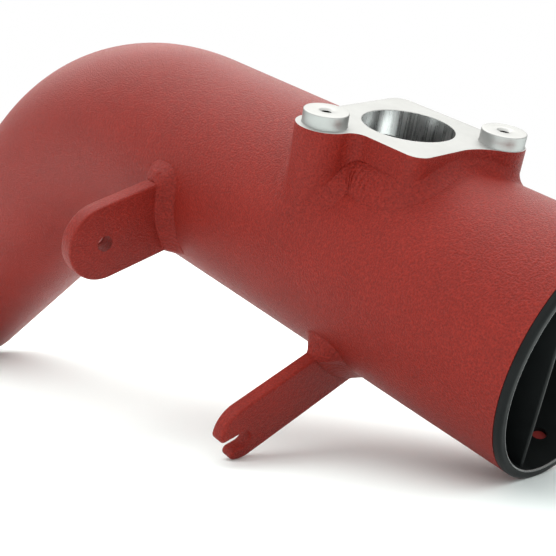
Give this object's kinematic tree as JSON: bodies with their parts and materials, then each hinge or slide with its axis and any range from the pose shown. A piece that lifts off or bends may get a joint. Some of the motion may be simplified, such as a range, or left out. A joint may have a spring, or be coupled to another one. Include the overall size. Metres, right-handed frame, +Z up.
{
  "type": "intake tube",
  "caption": "Bent round intake tube with a machined sensor flange and raised screw pads on top, welded side brackets and a moulded air straightener in its inlet end.",
  "frame": {"origin": "centre of the part's footprint on the floor plane it rests on", "axes": "+Z up as the part rests on its inlet lip, its lower bracket tip and its outlet end; +X toward the inlet end, along the level heading of the straight run; the brackets are on the -Y side"},
  "size_m": [0.4034, 0.1236, 0.1459],
  "materials": {
    "red_coat": "fine wrinkle texture, satin",
    "red_weld": "rippled weld under the same coat",
    "flange_metal": "fine machined top and bore, red wrinkle coat on the skirt",
    "standoff_metal": "turned, satin",
    "black_plastic": "moulded, satin"
  },
  "bodies": {
    "root": {"intake_tube": "red_coat", "sensor_flange": "flange_metal", "sensor_standoffs": "standoff_metal", "sensor_flange_weld": "red_weld", "upper_bracket": "red_coat", "upper_bracket_weld": "red_weld", "lower_bracket": "red_coat", "lower_bracket_weld": "red_weld", "air_straightener": "black_plastic"}
  },
  "joints": []
}
